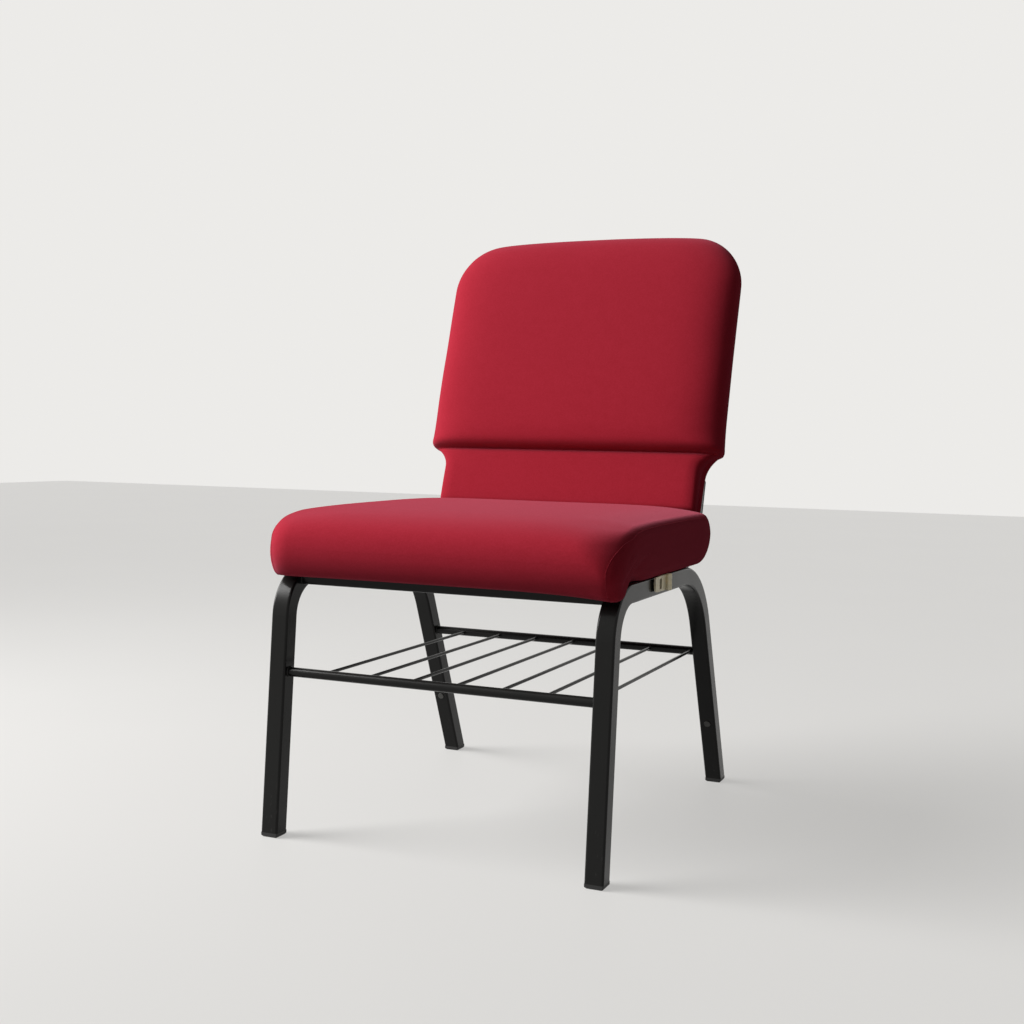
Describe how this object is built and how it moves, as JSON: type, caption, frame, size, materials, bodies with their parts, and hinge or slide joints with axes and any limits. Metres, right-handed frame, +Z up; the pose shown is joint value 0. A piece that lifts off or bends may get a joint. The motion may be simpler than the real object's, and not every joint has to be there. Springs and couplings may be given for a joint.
{
  "type": "stacking conference chair",
  "caption": "Stackable conference chair with a square tube frame, upholstered seat and back, a book rack under the seat and a swinging link that joins it to the next chair.",
  "frame": {"origin": "middle of the overall box, at the floor", "axes": "+Z up, the chair faces -Y, +X to the sitter's left"},
  "size_m": [0.5086, 0.6322, 0.8597],
  "materials": {
    "frame_paint": "satin black powder coat",
    "glide_plastic": "moulded, matt",
    "board_wood": "bare plywood",
    "foam": "open-cell foam",
    "cover_fabric": "woven, burgundy",
    "dust_cloth": "thin black lining",
    "panel_plastic": "grained, black",
    "fixing_steel": "zinc plated",
    "gang_zinc": "yellow zinc plated"
  },
  "bodies": {
    "chair": {"leg_frame_left": "frame_paint", "leg_frame_right": "frame_paint", "front_rail": "frame_paint", "rear_rail": "frame_paint", "back_upright_left": "frame_paint", "back_upright_right": "frame_paint", "back_lower_bar": "frame_paint", "back_top_bar": "frame_paint", "rack_front_bar": "frame_paint", "rack_rear_bar": "frame_paint", "rack_wires": "frame_paint", "glide_front_left": "glide_plastic", "glide_front_right": "glide_plastic", "glide_rear_left": "glide_plastic", "glide_rear_right": "glide_plastic", "leg_plugs": "glide_plastic", "seat_board": "board_wood", "back_board": "board_wood", "seat_foam": "foam", "back_foam_lower": "foam", "back_foam_upper": "foam", "seat_cover": "cover_fabric", "back_cover_lower": "cover_fabric", "back_cover_upper": "cover_fabric", "back_neck_wrap": "cover_fabric", "seat_dust_cover": "dust_cloth", "back_outer_panel": "panel_plastic", "seat_tee_nuts": "fixing_steel", "seat_screws": "fixing_steel", "back_screws": "fixing_steel", "gang_hinge_bracket": "gang_zinc", "gang_hinge_pin": "gang_zinc", "gang_rivets": "gang_zinc", "gang_hook": "gang_zinc", "gang_hook_rivets": "gang_zinc"},
    "gang_link": {"gang_link": "gang_zinc"}
  },
  "joints": [
    {"name": "gang_link_swing", "type": "hinge", "parent": "chair", "child": "gang_link", "pos_m": [0.2498, -0.097, 0.352], "axis": [0, 0, 1], "range_deg": [0, 90]}
  ]
}
